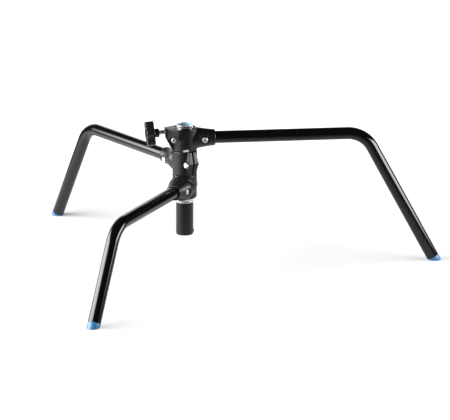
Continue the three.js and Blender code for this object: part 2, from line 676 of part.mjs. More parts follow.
stand.add(
  piece('centre_tube', centreTube(), 'satin_black_paint'),
  piece('socket_ring', socketRing(), 'chrome'),
  piece('socket_liner', socketLiner(), 'blue_grey_plastic'),
  piece('retaining_ring', retainingRing(), 'chrome'),
  piece('stop_pin', stopPin(), 'satin_black_paint'),
  top,
  middle,
  bottom,
  clamp,
);

export default stand;
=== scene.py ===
"""Looks of a low C stand base: gloss black bent tube legs on three stacked castings round one centre tube.

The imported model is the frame. Every piece is worked out in millimetres and written in metres at its place.
"""

import math

import bmesh
import bpy
import numpy as np
from bpy.props import FloatProperty, FloatVectorProperty, IntProperty, PointerProperty
from mathutils import Matrix, Vector


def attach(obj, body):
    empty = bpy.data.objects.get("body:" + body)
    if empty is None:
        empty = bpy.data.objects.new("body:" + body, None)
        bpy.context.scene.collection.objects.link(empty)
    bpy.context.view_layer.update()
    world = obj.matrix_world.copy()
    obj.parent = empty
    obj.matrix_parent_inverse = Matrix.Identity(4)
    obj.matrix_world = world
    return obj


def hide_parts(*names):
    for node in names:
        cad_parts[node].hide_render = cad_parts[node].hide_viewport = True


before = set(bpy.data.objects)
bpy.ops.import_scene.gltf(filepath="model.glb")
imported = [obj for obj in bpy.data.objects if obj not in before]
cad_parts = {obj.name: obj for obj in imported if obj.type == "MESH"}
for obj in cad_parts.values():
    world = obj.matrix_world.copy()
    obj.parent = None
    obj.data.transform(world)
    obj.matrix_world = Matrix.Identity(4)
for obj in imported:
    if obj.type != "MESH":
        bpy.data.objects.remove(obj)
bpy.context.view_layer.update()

bl_info = {
    "name": "C stand base",
    "version": (1, 0, 0),
    "blender": (4, 5, 0),
    "location": "View3D > Sidebar > Stand",
    "description": "Builds the visible pieces of a low C stand base round its packed model",
    "category": "Add Mesh",
}

MM = 0.001
SMOOTH_ANGLE = 32.0

# Sizes of the pieces, in millimetres and degrees
CLEARANCE = 0.3
FIT = 0.25
RUN = 0.2
TUBE = {"radius": 18.0, "bore": 14.45}
LEVELS = {"top": 300.0, "high": 253.0, "low": 202.8}
SLEEVE_RADIUS = 25.0
LEG_RADIUS = 12.7
LEG_WALL = 1.8
LEG_START = 25.8
BEND_RADIUS = 60.6
CAP = {"lip": 1.6, "plug": 18.0}
# A bolt's row: its place along the leg and above the leg's axis, how far out its head sits, and on which side
LEGS = {
    "top": {"azimuth": 0.0, "height": 277.5, "bend": 371.0, "foot": 525.6, "body": "column",
            "bolts": {"leg": (39.4, -1.3, 14.4, -1), "pinch": (-23.8, 0.3, 14.0, -1)}},
    "middle": {"azimuth": 118.96, "height": 227.8, "bend": 353.9, "foot": 483.4, "body": "middle_leg",
               "bolts": {"leg": (46.8, -3.4, 15.5, 1), "pinch": (-24.6, -1.3, 11.5, 1)}},
    "bottom": {"azimuth": 238.25, "height": 175.2, "bend": 317.1, "foot": 417.5, "body": "bottom_leg",
               "bolts": {"leg": (30.6, -1.9, 16.4, 1), "pinch": (-24.6, 0.625, 11.5, 1)}},
}
MIDDLE_ARM = {"root": 28.0, "end": 14.8, "length": 38.7, "power": 1.35, "waist": 17.2, "bore": 12.95,
              "flare": 6.0, "flare_power": 1.8, "drawn": 4.0}
ARM_ROOT = {"behind": 2.0, "length": 16.0, "wider": 4.0}
BOLT = {"radius": 3.0, "root": 2.55, "ridge": 0.43, "pitch": 1.0, "threaded": 9.0, "head": 5.9, "tall": 5.2,
        "dome": 2.3, "key": 4.0, "key_depth": 2.6}
NUT = {"hole": 3.25, "flats": 10.0, "face": 4.85, "shoulder": 5.3}
NUTS = {"leg": {"height": 4.8, "tip": 1.5}, "pinch": {"height": 3.2, "tip": 0.6}}
PIN = {"radius": 3.0, "height": 81.0, "head": 3.5, "proud": 0.8, "flush": 0.4}
CLAMP = {"reach": 41.5, "height": 291.1, "tilt": 5.0, "thread": 11.3, "boss": 9.8, "disc": 17.2}
KNOB = {"size": 54.8, "lobes": 6, "lobe": 8.1, "valley": 6.4, "turn": 14.0, "edge": 2.0, "boss": 8.9,
        "hole": 5.05, "floor": 4.7, "recess": 2.0}
SCREW = {"root": 3.95, "ridge": 0.85, "pitch": 1.5, "tail": 5.0, "spigot": 2.3, "spigot_length": 3.0}
PAD = {"radius": 3.6, "socket": 2.55, "length": 5.6, "set_back": 0.9}
RING = {"radius": 19.7, "height": 6.2, "slope": 0.35}
LINER = {"low": 298.0, "high": 305.7, "wall": 1.5}
BUSH = {"wall": 1.0, "collar": 22.4, "collar_height": 4.6}
FLANGE = {"radius": 19.8, "high": 151.5, "low": 147.9}
RETAINER = {"radius": 18.9, "height": 4.0, "groove": 0.9, "gap": 9.0}

# Sizes and places of the stage, in metres and degrees, turned about the stand with the camera
CAMERA = {"about": -7.019, "aim": 0.150, "far": 4.8167, "rise": 15.932, "yaw": -1.2881, "pitch": -0.2937,
          "roll": -0.2737, "sensor": 36.0, "lens": 187.757, "shift": 0.2069, "clip": 60.0}
LAMPS = {
    "left": {"place": (-1.3, -0.38, 0.62), "aim": (0, -0.3, 0.2), "size": (2.3, 1.05)},
    "right": {"place": (1.9, -0.3, 0.58), "aim": (0, -0.2, 0.2), "size": (1.8, 0.75)},
}
FLOOR = {"half": 9.0, "drop": 0.0005, "dark": 0.08, "pale": 0.8, "shine": 0.1, "beyond": 0.3}
BACKDROP = {"light": 1.35, "shine": 0.15}


# Mesh code

def rounded(corners, radii, steps=5, closed=False):
    """A line of straight sides with rounded corners.

    Each corner becomes an arc that touches both sides: its centre lies on the corner's bisector, at the
    radius divided by the sine of half the corner's angle. A radius of 0 keeps the corner.
    """
    corners = np.asarray(corners, float)
    count = len(corners)
    line = []
    for k, radius in enumerate(radii):
        here = corners[k]
        if radius == 0 or (not closed and k in (0, count - 1)):
            line.append(here[None])
            continue
        before = corners[k - 1] - here
        after = corners[(k + 1) % count] - here
        before /= np.linalg.norm(before)
        after /= np.linalg.norm(after)
        half = math.acos(np.clip(before @ after, -1, 1)) / 2
        middle = before + after
        centre = here + middle / np.linalg.norm(middle) * radius / math.sin(half)
        first = here + before * radius / math.tan(half) - centre
        last = here + after * radius / math.tan(half) - centre
        sweep = math.pi - 2 * half
        share = np.linspace(0, 1, steps + 1)[:, None]
        arc = np.sin((1 - share) * sweep) * first + np.sin(share * sweep) * last
        line.append(centre + arc / math.sin(sweep))
    return np.vstack(line)


def circle(facets):
    """Angles spaced evenly round a circle, from 0 on."""
    return np.linspace(0, 2 * math.pi, facets, endpoint=False)


def eased(share):
    """A smooth step from 0 to 1: 3 s^2 - 2 s^3, with the share s held between 0 and 1."""
    share = np.clip(share, 0, 1)
    return share * share * (3 - 2 * share)


def radial(rows, facets):
    """Grid of rows of (radius, height) carried round Z: x = r cos a, y = r sin a, z = height.

    The radius of a row is one number, or one for each angle.
    """
    angle = circle(facets)
    radius = np.array([np.broadcast_to(row[0], facets) for row in rows], float)
    height = np.array([row[1] for row in rows], float)[:, None]
    return np.stack([radius * np.cos(angle), radius * np.sin(angle), height + 0 * radius], axis=2)


def turned(grid, matrix):
    """The grid's points p moved to R p + t, with R and t from a 4 by 4 matrix."""
    matrix = np.array(matrix)
    return grid @ matrix[:3, :3].T + matrix[:3, 3]


def quads(rows, columns, closed_rows):
    """Corner numbers of a grid's faces: each face joins a point with its next column, next row and both."""
    row = np.arange(rows if closed_rows else rows - 1)[:, None]
    column = np.arange(columns)[None]
    next_row = (row + 1) % rows
    next_column = (column + 1) % columns
    faces = np.stack([row * columns + column, row * columns + next_column, next_row * columns + next_column,
                      next_row * columns + column], axis=2)
    return faces.reshape(-1, 4)


def mesh_of(name, grid, closed_rows, ends=(), smooth_angle=SMOOTH_ANGLE):
    """A closed mesh in metres from a grid in millimetres: columns close, and so do rows or ends."""
    rows, columns = grid.shape[:2]
    mesh = bpy.data.meshes.new(name)
    faces = quads(rows, columns, closed_rows).tolist() + list(ends)
    mesh.from_pydata((grid.reshape(-1, 3) * MM).tolist(), [], faces)
    return finish_mesh(mesh, smooth_angle)


def finish_mesh(mesh, smooth_angle, flat_angle=0.0):
    """Merges doubles, turns the faces outwards, and shades smooth up to an angle between faces."""
    work = bmesh.new()
    work.from_mesh(mesh)
    bmesh.ops.remove_doubles(work, verts=work.verts, dist=2e-6)
    bmesh.ops.dissolve_degenerate(work, edges=work.edges, dist=1e-6)
    if flat_angle:
        limit = math.radians(flat_angle)
        bmesh.ops.dissolve_limit(work, angle_limit=limit, verts=work.verts, edges=work.edges)
    bmesh.ops.recalc_face_normals(work, faces=work.faces)
    work.to_mesh(mesh)
    work.free()
    mesh.polygons.foreach_set("use_smooth", np.ones(len(mesh.polygons), bool))
    mesh.set_sharp_from_angle(angle=math.radians(smooth_angle))
    return mesh


def piece(name, mesh, body, slot, *nodes):
    """An object that rides on a body, takes its finish from a slot, and stands for CAD nodes."""
    thing = bpy.data.objects.new(name, mesh)
    bpy.context.scene.collection.objects.link(thing)
    thing.data.materials.clear()
    thing.data.materials.append(finish_for(slot))
    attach(thing, body)
    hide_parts(*nodes)


def grid_piece(name, grid, body, slot, node, closed_rows=True, smooth_angle=SMOOTH_ANGLE):
    """A piece from one grid that closes round its columns, and round its rows where its profile is a loop."""
    piece(name, mesh_of(name, grid, closed_rows, smooth_angle=smooth_angle), body, slot, node)


def leg_matrix(name):
    """From the frame of a leg, with X along it and z = 0 on its axis, to the frame of the stand."""
    leg = LEGS[name]
    return Matrix.Translation((0, 0, leg["height"])) @ Matrix.Rotation(math.radians(leg["azimuth"]), 4, "Z")


def clamp_matrix():
    """From the clamp's frame, with Z along its screw towards the tube, to the frame of the stand."""
    return (Matrix.Translation((-CLAMP["reach"], 0, CLAMP["height"]))
            @ Matrix.Rotation(math.radians(-CLAMP["tilt"]), 4, "Y") @ Matrix.Rotation(math.pi / 2, 4, "Y"))


# Finishes

def maths(operation, reflected=False):
    """An operator that adds one Math node, with its sides swapped in the reflected form."""
    def act(self, other):
        first, second = (other, self) if reflected else (self, other)
        return self.paint.node("Math", {"operation": operation}, {0: first, 1: second})
    return act


class Value:
    """A shader socket. Python's operators on it add Math nodes to its tree."""

    def __init__(self, paint, socket):
        self.paint = paint
        self.socket = socket

    __add__, __radd__ = maths("ADD"), maths("ADD", True)
    __sub__, __rsub__ = maths("SUBTRACT"), maths("SUBTRACT", True)
    __mul__, __rmul__ = maths("MULTIPLY"), maths("MULTIPLY", True)
    __pow__, __rpow__ = maths("POWER"), maths("POWER", True)


class Paint:
    """The node tree of one material, of a lamp or of the world."""

    def __init__(self, tree):
        self.tree = tree
        self.tree.nodes.clear()

    def node(self, kind, settings=None, inputs=None, output=0):
        """Adds a node, sets it, gives its sockets values or links, and returns one of its outputs."""
        made = self.tree.nodes.new("ShaderNode" + kind)
        for key, value in (settings or {}).items():
            if key == "stops":
                self._stops(made.color_ramp.elements, value)
            else:
                setattr(made, key, value)
        for key, value in (inputs or {}).items():
            if isinstance(value, Value):
                self.tree.links.new(value.socket, made.inputs[key])
            else:
                made.inputs[key].default_value = value
        return Value(self, made.outputs[output]) if made.outputs else made

    def _stops(self, elements, stops):
        while len(elements) < len(stops):
            elements.new(1.0)
        for element, (place, level) in zip(elements, stops):
            element.position = place
            element.color = (level, level, level, 1.0)

    def place(self):
        """The place on the object, in metres."""
        return self.node("TexCoord", output="Object")

    def noise(self, scale, detail, roughness):
        """A noise in space."""
        return self.node("TexNoise", {}, {"Vector": self.place(), "Scale": scale, "Detail": detail,
                                          "Roughness": roughness}, "Fac")

    def lines(self, scale):
        """Turning lines: a noise of the height alone."""
        height = self.split(self.place())[2]
        inputs = {"W": height * scale, "Scale": 1.0, "Detail": 2.0}
        return self.node("TexNoise", {"noise_dimensions": "1D"}, inputs, "Fac")

    def spots(self, scale, detail, roughness, start, full, first=0.0, last=1.0):
        """The first level where a noise is under start, then a straight ramp to the last level at full."""
        stops = [(0.0, first), (start, first), (full, last)]
        return self.node("ValToRGB", {"stops": stops}, {"Fac": self.noise(scale, detail, roughness)})

    def ranged(self, value, start, end, first=0.0, last=1.0, kind="SMOOTHSTEP"):
        """From first to last while a value goes from start to end, and held beyond them."""
        inputs = {0: value, 1: start, 2: end, 3: first, 4: last}
        return self.node("MapRange", {"interpolation_type": kind}, inputs)

    def mix(self, share, first, second):
        """A blend of two colours: first + share (second - first)."""
        first, second = (colour if isinstance(colour, Value) else (*colour, 1) for colour in (first, second))
        return self.node("Mix", {"data_type": "RGBA"}, {0: share, 6: first, 7: second}, 2)

    def split(self, vector):
        """The three parts of a vector."""
        made = self.node("SeparateXYZ", {}, {0: vector})
        return [Value(self, socket) for socket in made.socket.node.outputs]

    def bump(self, height, distance, strength):
        """The normal over a relief."""
        return self.node("Bump", {}, {"Height": height, "Distance": distance, "Strength": strength})

    def rays(self):
        """Two values of 0 or 1: seen by the camera itself, and seen in a reflection or a refraction."""
        outputs = self.node("LightPath").socket.node.outputs
        names = ("Is Camera Ray", "Is Glossy Ray", "Is Transmission Ray")
        seen, reflected, refracted = (Value(self, outputs[name]) for name in names)
        return seen, reflected + refracted

    def surface(self, sockets):
        """The Principled shader as the material's surface."""
        self.node("OutputMaterial", {}, {"Surface": self.node("BsdfPrincipled", {}, sockets)})


def gloss_black_paint(paint, look):
    """Black enamel on steel tube: a faint orange peel, a little haze, and hair-fine scuffs."""
    peel = paint.noise(look.peel_scale, 2.0, 0.45)
    haze = paint.noise(14.0, 4.0, 0.6)
    scuff = paint.spots(90.0, 6.0, 0.75, 0.66, 0.74)
    colour = paint.mix(scuff * 0.35, look.paint_black, (0.016, 0.016, 0.017))
    paint.surface({"Base Color": colour, "Roughness": 0.055 + haze * 0.05 + scuff * 0.05,
                   "Normal": paint.bump(peel, look.peel_depth, 0.55)})


def satin_black_paint(paint, look):
    """Black paint on the centre tube, rubbed to a satin sheen by the turning castings."""
    peel = paint.noise(look.peel_scale * 2.0, 2.0, 0.5)
    rub = paint.spots(30.0, 5.0, 0.65, 0.5, 0.8)
    colour = paint.mix(rub * 0.5, look.paint_black, (0.009, 0.009, 0.0095))
    paint.surface({"Base Color": colour, "Roughness": 0.23 + peel * 0.06 - rub * 0.04,
                   "Normal": paint.bump(peel, look.peel_depth, 0.4)})


def satin_black_casting(paint, look):
    """Black powder coat on a sand casting: fine grain over slow unevenness, paler where hands rub it."""
    grain = paint.noise(look.grain_scale, 3.0, 0.6)
    slow = paint.noise(70.0, 3.0, 0.5)
    rub = paint.spots(38.0, 5.0, 0.65, 0.5, 0.8)
    colour = paint.mix(rub * 0.6, look.casting_black, (0.012, 0.012, 0.0125))
    paint.surface({"Base Color": colour, "Roughness": 0.32 + grain * 0.10 - rub * 0.05,
                   "Normal": paint.bump(grain * 0.4 + slow * 1.6, look.grain_depth, 0.7)})


def chrome(paint, look):
    """Polished plating with a faint turned grain and finger haze."""
    haze = paint.noise(60.0, 4.0, 0.6)
    colour = paint.mix(haze, (0.74, 0.76, 0.79), (0.84, 0.85, 0.87))
    paint.surface({"Base Color": colour, "Roughness": 0.07 + haze * 0.08,
                   "Normal": paint.bump(paint.lines(9000.0), 0.00001, 0.4), "Metallic": 1.0})


def zinc(paint, look):
    """Bright zinc plate: a soft crystalline haze and darker traces in its pores."""
    cloud = paint.noise(420.0, 4.0, 0.6)
    pores = paint.spots(1500.0, 2.0, 0.5, 0.34, 0.42, 1.0, 0.0)
    colour = paint.mix(cloud, (0.72, 0.73, 0.75), (0.88, 0.89, 0.90))
    paint.surface({"Base Color": colour, "Roughness": 0.42 + cloud * 0.16 + pores * 0.08,
                   "Normal": paint.bump(cloud - pores * 0.4, 0.00003, 0.5), "Metallic": 1.0})


def white_nylon(paint, look):
    """Turned nylon: nearly white, slightly greasy, with fine turning lines."""
    lines = paint.lines(5000.0)
    colour = paint.mix(paint.noise(120.0, 4.0, 0.6), (0.78, 0.78, 0.76), (0.86, 0.86, 0.84))
    paint.surface({"Base Color": colour, "Roughness": 0.38 + lines * 0.15,
                   "Normal": paint.bump(lines, 0.00003, 0.5),
                   "Subsurface Weight": 0.15, "Subsurface Scale": 0.002})


def blue_grey_plastic(paint, look):
    """Turned blue-grey plastic of the socket's liner, with fine turning lines and a little dirt."""
    lines = paint.lines(4000.0)
    colour = paint.mix(paint.noise(150.0, 4.0, 0.6) * 0.6, (0.33, 0.53, 0.63), (0.25, 0.42, 0.52))
    paint.surface({"Base Color": colour, "Roughness": 0.33 + lines * 0.12,
                   "Normal": paint.bump(lines, 0.00003, 0.5)})


def black_plastic(paint, look):
    """Moulded black knob: a fine leathery spark texture, shinier on its worn lobes."""
    spark = paint.noise(1300.0, 3.0, 0.6)
    worn = paint.spots(55.0, 3.0, 0.55, 0.45, 0.75)
    colour = paint.mix(worn * 0.5, look.knob_black, (0.020, 0.020, 0.021))
    paint.surface({"Base Color": colour, "Roughness": 0.24 + spark * 0.08 - worn * 0.06,
                   "Normal": paint.bump(spark, 0.00006, 0.7)})


def blue_plastic(paint, look):
    """Moulded blue foot cap: slight mottling, scuffed and dustier towards the floor."""
    mottle = paint.noise(160.0, 4.0, 0.6)
    scratch = paint.spots(700.0, 5.0, 0.7, 0.6, 0.72)
    low = paint.ranged(paint.split(paint.place())[2], 0.0, 0.012, 1.0, 0.0, "LINEAR")
    body = paint.mix(mottle * 0.5, look.cap_blue, (0.054, 0.23, 0.46))
    colour = paint.mix(low * scratch * 0.5, body, (0.16, 0.34, 0.52))
    paint.surface({"Base Color": colour, "Roughness": 0.30 + mottle * 0.1 + low * scratch * 0.25,
                   "Normal": paint.bump(mottle + scratch * 0.3, 0.00008, 0.5)})


def brass(paint, look):
    """Turned brass pad, dulled by handling."""
    tarnish = paint.noise(300.0, 5.0, 0.65)
    colour = paint.mix(tarnish, (0.58, 0.38, 0.10), (0.38, 0.24, 0.07))
    paint.surface({"Base Color": colour, "Roughness": 0.22 + tarnish * 0.2,
                   "Normal": paint.bump(tarnish, 0.00002, 0.4), "Metallic": 1.0})


FINISHES = {maker.__name__: maker for maker in (
    gloss_black_paint, satin_black_paint, satin_black_casting, chrome, zinc, white_nylon, blue_grey_plastic,
    black_plastic, blue_plastic, brass)}


def finish_for(slot):
    """The material of a slot, made once."""
    name = "finish_" + slot
    if name not in bpy.data.materials:
        material = bpy.data.materials.new(name)
        material.use_nodes = True
        FINISHES[slot](Paint(material.node_tree), bpy.context.scene.stand_look)
    return bpy.data.materials[name]


# Pieces

def leg_path(leg):
    """Centre line of a leg in its own plane, as points (x, z) and the angle of its fall at each of them.

    It runs level to the bend, follows an arc of the bend radius through the leg's slope, and goes straight
    down to where its lowest edge clears the floor by the lip of the foot cap.
    """
    slope = math.atan2(leg["height"], leg["foot"] - leg["bend"])
    set_back = BEND_RADIUS * math.tan(slope / 2)
    fall = np.linspace(0, slope, 33)
    bend = np.stack([leg["bend"] - set_back + BEND_RADIUS * np.sin(fall),
                     BEND_RADIUS * (np.cos(fall) - 1)], axis=1)
    back_off = LEG_RADIUS / math.tan(slope) + CAP["lip"] / math.sin(slope)
    end = np.array([leg["foot"] - back_off * math.cos(slope), back_off * math.sin(slope) - leg["height"]])
    start = np.array([LEG_START, 0.0])
    level = start + (bend[0] - start) * np.linspace(0, 1, 7)[:-1, None]
    down = bend[-1] + (end - bend[-1]) * np.linspace(0, 1, 7)[1:, None]
    line = np.vstack([level, bend, down])
    angle = np.concatenate([np.zeros(len(level)), fall, np.full(len(down), slope)])
    return line, angle


def leg_tube(name, facets):
    """Bent tube: along its path with the outer circle, then back inside with the inner one.

    A point is path + r (cos a n + sin a b), with n upright to the path in the leg's plane and b across it.
    """
    line, fall = leg_path(LEGS[name])
    angle = circle(facets)
    grids = []
    for radius, order in ((LEG_RADIUS, slice(None)), (LEG_RADIUS - LEG_WALL, slice(None, None, -1))):
        path, tilt = line[order], fall[order]
        out = radius * np.cos(angle)[None]
        grids.append(np.stack([path[:, :1] + out * np.sin(tilt)[:, None],
                               np.repeat(radius * np.sin(angle)[None], len(path), axis=0),
                               path[:, 1:] + out * np.cos(tilt)[:, None]], axis=2))
    return turned(np.vstack(grids), leg_matrix(name))


def foot_cap(name, facets):
    """Plug and wedge: rings round the leg's axis, the lowest of which end at the floor.

    A ring of radius r reaches height z on the ray at angle a after
    t = (end height + r cos a cos s - z) / sin s, with s the leg's slope.
    """
    leg = LEGS[name]
    line, fall = leg_path(leg)
    slope = fall[-1]
    end = line[-1]
    angle = circle(facets)
    plug = LEG_RADIUS - LEG_WALL - FIT
    upper = [(0, -CAP["plug"]), (plug - 1, -CAP["plug"]), (plug, 1 - CAP["plug"]), (plug, CLEARANCE),
             (LEG_RADIUS - 0.6, CLEARANCE), (LEG_RADIUS - 0.18, CLEARANCE + 0.16),
             (LEG_RADIUS, CLEARANCE + 0.6)]
    lower = [(LEG_RADIUS, 0.9), (LEG_RADIUS - 0.1, 0.45), (LEG_RADIUS - 0.35, 0.12), (LEG_RADIUS - 0.9, 0.0),
             (LEG_RADIUS * 0.5, 0.0), (0, 0.0)]
    radius = np.array([row[0] for row in upper + lower], float)[:, None]
    along = np.array([row[1] for row in upper], float)[:, None] + np.zeros(facets)
    height = np.array([row[1] for row in lower], float)[:, None]
    over_floor = end[1] + leg["height"] + radius[len(upper):] * np.cos(angle) * math.cos(slope)
    along = np.vstack([along, (over_floor - height) / math.sin(slope)])
    out = radius * np.cos(angle)
    grid = np.stack([end[0] + along * math.cos(slope) + out * math.sin(slope),
                     radius * np.sin(angle) + 0 * along,
                     end[1] - along * math.sin(slope) + out * math.cos(slope)], axis=2)
    return turned(grid, leg_matrix(name))


def hexagon(angle, flats):
    """Radius of a hexagon: half its width across flats over the cosine of the angle from the nearest flat."""
    return flats / 2 / np.cos((angle + math.pi / 6) % (math.pi / 3) - math.pi / 6)


def thread(height, angle, pitch, depth, low, high):
    """Height of a right-handed thread's ridge over its root.

    It is a triangle wave of height over pitch less the turn, whose crest and root are cut flat. It fades over
    one pitch at both ends.
    """
    phase = (height / pitch - angle / (2 * math.pi)) % 1
    peak, flank = 1.25, 2.9
    wave = np.clip(peak - np.abs(phase - 0.5) * flank, 0, 1)
    fade = np.clip(np.minimum(height - low, high - height) / pitch, 0, 1)
    return depth * wave * fade


def bolt_grid(seat, nut, facets=48):
    """Socket head bolt along Z: threaded shank, domed head and hexagon socket, as radius over turn."""
    angle = circle(facets)
    low = seat + CLEARANCE
    high = low + BOLT["tall"]
    tip = -(low + nut["height"] + nut["tip"])
    root, head, key = BOLT["root"], BOLT["head"], BOLT["key"]
    ends = tip + 0.6, tip + BOLT["threaded"]
    dome = rounded([(head, low), (head, high), (2.6, high)], [0, BOLT["dome"], 0], 8)
    rows = [(0, tip), (root - 0.5, tip), (root, tip + 0.5)]
    rows += [(root + thread(height, angle, BOLT["pitch"], BOLT["ridge"], *ends), height)
             for height in np.arange(*ends, 0.125)]
    rows += [(BOLT["radius"], ends[1] + 0.2), (BOLT["radius"], low), (head - 0.3, low), *dome[1:-1]]
    rows += [(2.95, high), (hexagon(angle, key + 0.2), high - 0.12), (hexagon(angle, key), high - 0.4),
             (hexagon(angle, key), high - BOLT["key_depth"]), (0, high - BOLT["key_depth"] - 0.6)]
    return radial(rows, facets)


def nut_grid(seat, nut, facets=48):
    """Hexagon nut along Z: its corners are cut by a cone at both faces, and its hole is plain."""
    high = -(seat + CLEARANCE)
    low = high - nut["height"]
    hole = NUT["hole"]
    flats = hexagon(circle(facets), NUT["flats"])
    face = np.minimum(flats - 0.02, NUT["face"])
    shoulder = np.minimum(flats, NUT["shoulder"])
    rows = [(hole, low + 0.5), (hole + 0.5, low), (face, low), (shoulder, low + 0.35), (flats, low + 0.75),
            (flats, high - 0.75), (shoulder, high - 0.35), (face, high), (hole + 0.5, high),
            (hole, high - 0.5)]
    return radial(rows, facets)


def fastener_matrix(name, along, above, side):
    """From a fastener's own frame, with Z towards its head, to its place across a casting."""
    across = Matrix.Rotation(-math.pi / 2, 4, "X")
    about = Matrix.Rotation(0 if side > 0 else math.pi, 4, "Z")
    return leg_matrix(name) @ Matrix.Translation((along, 0, above)) @ about @ across


def lobed(angle, size, lobes, lobe, valley):
    """Outline of a lobed knob: round lobes on a circle, joined by round valleys that touch them.

    Seen from the middle, a lobe of radius R at distance c reaches c cos d + sqrt(R^2 - c^2 sin^2 d) at angle d
    from its centre, and a valley of radius V at distance v reaches v cos e - sqrt(V^2 - v^2 sin^2 e).
    """
    centre = size / 2 - lobe
    half = math.pi / lobes
    reach = lobe + valley
    far = centre * math.cos(half) + math.sqrt(reach ** 2 - (centre * math.sin(half)) ** 2)
    touch = math.atan2(far * math.sin(half), far * math.cos(half) - centre)
    limit = math.atan2(lobe * math.sin(touch), centre + lobe * math.cos(touch))
    turn = (angle + half) % (2 * half) - half
    from_valley = half - np.abs(turn)
    on_lobe = centre * np.cos(turn) + np.sqrt(np.maximum(lobe ** 2 - (centre * np.sin(turn)) ** 2, 0))
    square = valley ** 2 - (far * np.sin(from_valley)) ** 2
    in_valley = far * np.cos(from_valley) - np.sqrt(np.maximum(square, 0))
    return np.where(np.abs(turn) < limit, on_lobe, in_valley)


def knob_ends():
    """Heights of the knob's boss, of the front of its disc and of its back, in the clamp's frame."""
    boss = -CLAMP["thread"]
    face = boss - CLAMP["boss"]
    return boss, face, face - CLAMP["disc"]


def knob_grid(facets=288):
    """Lobed knob along Z: back with a round recess, lobed rim with round edges, and boss with a hole."""
    top, face, back = knob_ends()
    outline = lobed(circle(facets) - math.radians(KNOB["turn"]), KNOB["size"], KNOB["lobes"], KNOB["lobe"],
                    KNOB["valley"])
    edge, boss, hole, recess = KNOB["edge"], KNOB["boss"], KNOB["hole"], back + KNOB["recess"]
    arc = np.linspace(0, math.pi / 2, 7)
    rows = [(0, recess), (9.4, recess), (9.9, back + 1.6), (10.2, back + 0.3), (10.6, back)]
    rows += [(outline - edge * (1 - math.sin(a)), back + edge * (1 - math.cos(a))) for a in arc]
    rows += [(outline - edge * (1 - math.cos(a)), face - edge * (1 - math.sin(a))) for a in arc]
    rows += [(12.0, face), (10.0, face + 0.5), (boss + 0.2, face + 1.6), (boss, face + 2.6),
             (boss, top - 1.0), (boss - 0.3, top - 0.3), (boss - 1.0, top), (5.5, top), (hole, top - 0.5),
             (hole, back + KNOB["floor"]), (0, back + KNOB["floor"])]
    return radial(rows, facets)


def pad_front():
    """Height of the pad's front in the clamp's frame, set back from where the screw's axis meets the bore."""
    return (CLAMP["reach"] - TUBE["bore"]) / math.cos(math.radians(CLAMP["tilt"])) - PAD["set_back"]


def screw_grid(facets=72):
    """Clamp screw along Z: threaded from its tail in the knob to its shoulder, with the spigot of the pad."""
    angle = circle(facets)
    tail = knob_ends()[2] + SCREW["tail"]
    shoulder = pad_front() - PAD["length"] - CLEARANCE
    root, pitch, spigot = SCREW["root"], SCREW["pitch"], SCREW["spigot"]
    tip = shoulder + SCREW["spigot_length"]
    ends = tail + 0.8, shoulder - 0.8
    rows = [(0, tail), (root - 0.6, tail), (root, tail + 0.6)]
    rows += [(root + thread(height, angle, pitch, SCREW["ridge"], *ends), height)
             for height in np.arange(tail + 1.0, shoulder - 1.0, pitch / 10)]
    rows += [(root, shoulder - 0.5), (root - 0.5, shoulder), (spigot, shoulder), (spigot, tip - 0.3),
             (spigot - 0.3, tip), (0, tip)]
    return radial(rows, facets)


def pad_grid(facets=48):
    """Brass pad along Z: a disc with an eased front and a socket for the spigot of the screw."""
    front = pad_front()
    back = front - PAD["length"]
    hole, floor, radius = PAD["socket"], back + SCREW["spigot_length"], PAD["radius"]
    corners = [(0, floor), (hole, floor), (hole, back), (radius, back), (radius, front), (0, front)]
    return radial(rounded(corners, [0, 0, 0.2, 0.4, 0.9, 0]), facets)


def retaining_ring():
    """Open ring: a rounded section carried round the tube from one end of its gap to the other."""
    high = FLANGE["low"] - CLEARANCE
    low = high - RETAINER["height"]
    inner, outer = TUBE["radius"] - RETAINER["groove"] + FIT, RETAINER["radius"]
    corners = [(inner, low), (outer, low), (outer, high), (inner, high)]
    section = rounded(corners, [0.3, 0.35, 0.35, 0.3], 4, True)
    half_gap = math.asin(RETAINER["gap"] / 2 / outer)
    angle = math.pi / 2 + np.linspace(half_gap, 2 * math.pi - half_gap, 121)[:, None]
    radius, height = section.T
    grid = np.stack([radius * np.cos(angle), radius * np.sin(angle), height + 0 * angle], axis=2)
    rows, columns = grid.shape[:2]
    ends = [list(range(columns)), [(rows - 1) * columns + k for k in range(columns)][::-1]]
    return mesh_of("ring_retaining", grid, False, ends)


def refined(node, name):
    """A merged copy of a CAD node's mesh, shaded smooth over its curves."""
    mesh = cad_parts[node].data.copy()
    mesh.name = name
    return finish_mesh(mesh, 30.0, 0.4)


def applied(mesh, kind, **settings):
    """The mesh that one modifier makes of a mesh, under the same name."""
    work = bpy.data.objects.new("work", mesh)
    bpy.context.scene.collection.objects.link(work)
    modifier = work.modifiers.new("step", kind)
    for key, value in settings.items():
        setattr(modifier, key, value)
    made = bpy.data.meshes.new_from_object(work.evaluated_get(bpy.context.evaluated_depsgraph_get()))
    name = mesh.name
    bpy.data.objects.remove(work)
    bpy.data.meshes.remove(mesh)
    made.name = name
    return made


